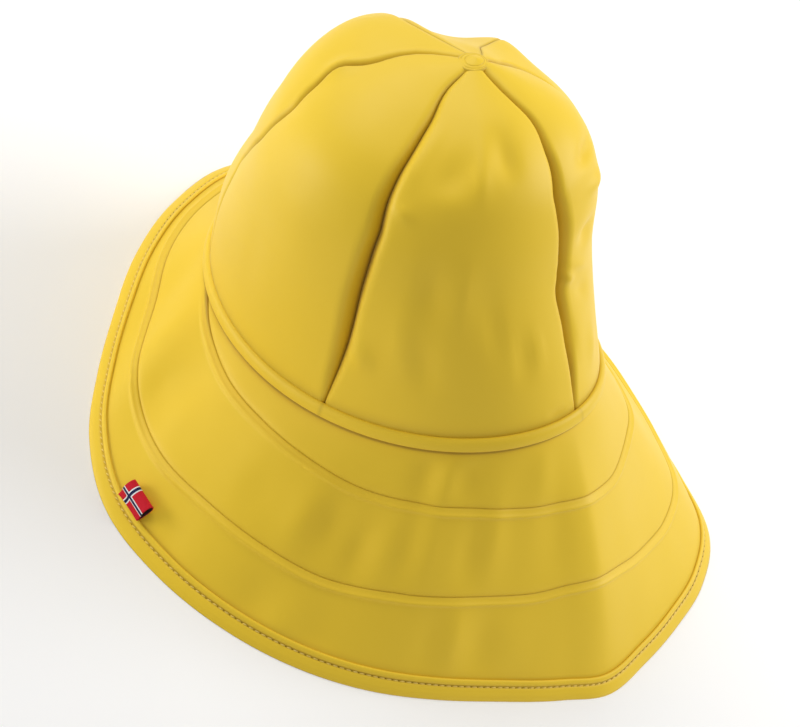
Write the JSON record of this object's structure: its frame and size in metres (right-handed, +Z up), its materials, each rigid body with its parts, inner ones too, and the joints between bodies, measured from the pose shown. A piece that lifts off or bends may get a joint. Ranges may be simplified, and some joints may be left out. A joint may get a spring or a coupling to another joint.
{
  "type": "sou wester hat",
  "caption": "Rain hat with a six-panel folded crown, a rolled band, and a welded brim that is short in front and long at the back, bound and stitched round its edge.",
  "frame": {"origin": "on the floor plane, under the middle of the brim's bound edge", "axes": "+Z up; the wearer faces -Y, so the long back brim points to +Y; the wearer's left, with the tape label, is +X"},
  "size_m": [0.3094, 0.3507, 0.2138],
  "materials": {
    "coated_cloth": "yellow polyurethane-coated knit, soft satin sheen, smooth outside",
    "binding_tape": "the same yellow coated cloth, folded over the edge and stitched with yellow thread",
    "woven_label": "woven tape, red with a white-edged dark blue cross"
  },
  "bodies": {
    "root": {"crown_panel_1": "coated_cloth", "crown_panel_2": "coated_cloth", "crown_panel_3": "coated_cloth", "crown_panel_4": "coated_cloth", "crown_panel_5": "coated_cloth", "crown_panel_6": "coated_cloth", "crown_button": "coated_cloth", "crown_band": "coated_cloth", "brim_inner": "coated_cloth", "brim_middle": "coated_cloth", "brim_outer": "coated_cloth", "edge_binding": "binding_tape", "flag_label": "woven_label"}
  },
  "joints": []
}
